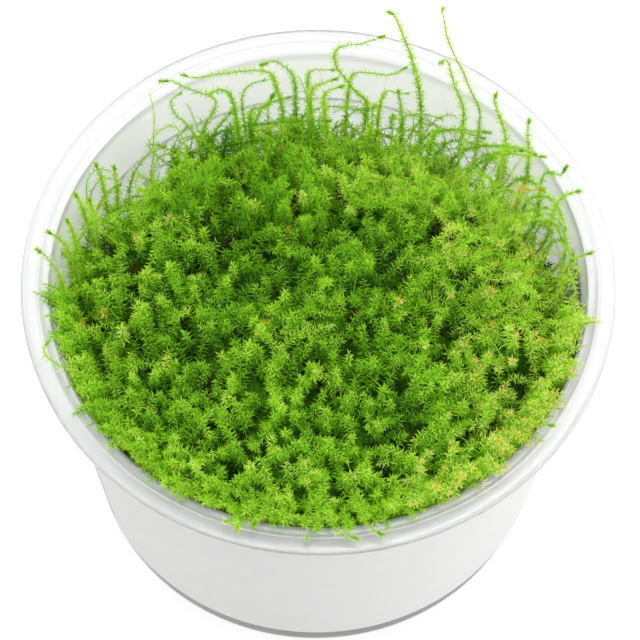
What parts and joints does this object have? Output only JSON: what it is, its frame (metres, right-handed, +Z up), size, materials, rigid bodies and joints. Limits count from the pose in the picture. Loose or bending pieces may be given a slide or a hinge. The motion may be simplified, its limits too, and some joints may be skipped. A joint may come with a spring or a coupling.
{
  "type": "tissue-cultured aquarium moss in its cup",
  "caption": "Open translucent plastic culture cup with a wide flange, filled with feather-moss on nutrient gel; long leafy shoots stand over its back and a bare label wraps its wall.",
  "frame": {"origin": "centre of the cup's foot ring, on the surface that the cup stands on", "axes": "+Z up along the cup's axis; -Y is the front, where the moss is level with the brim, and the long shoots stand at +Y; +X to the right seen from the front"},
  "size_m": [0.1, 0.1, 0.0846],
  "materials": {
    "plastic": "thin milky translucent moulding, faintly green where moss lies behind it",
    "paper": "smooth bare white label paper, satin",
    "gel": "clear, faintly straw-coloured set gel, wet gloss",
    "moss": "fine matt leaves, bright green at the tips, darker and browner in the hollows"
  },
  "bodies": {
    "root": {"cup": "plastic", "label": "paper", "moss_cushion": "moss", "nutrient_gel": "gel", "shoot_back_arch": "moss", "shoot_back_bend": "moss", "shoot_back_curl": "moss", "shoot_back_front_bar": "moss", "shoot_back_lean": "moss", "shoot_back_loop": "moss", "shoot_back_low": "moss", "shoot_back_short": "moss", "shoot_crook": "moss", "shoot_left_bar": "moss", "shoot_left_hook": "moss", "shoot_left_loop": "moss", "shoot_left_thread": "moss", "shoot_pale_tall": "moss", "shoot_right_arm": "moss", "shoot_right_bar": "moss", "shoot_right_drape": "moss", "shoot_right_hook": "moss", "shoot_right_post": "moss", "shoot_right_tip": "moss", "shoot_right_upright": "moss", "shoot_right_wave": "moss", "shoot_right_yellow": "moss", "shoot_s_curve": "moss", "shoot_tall": "moss"}
  },
  "joints": []
}
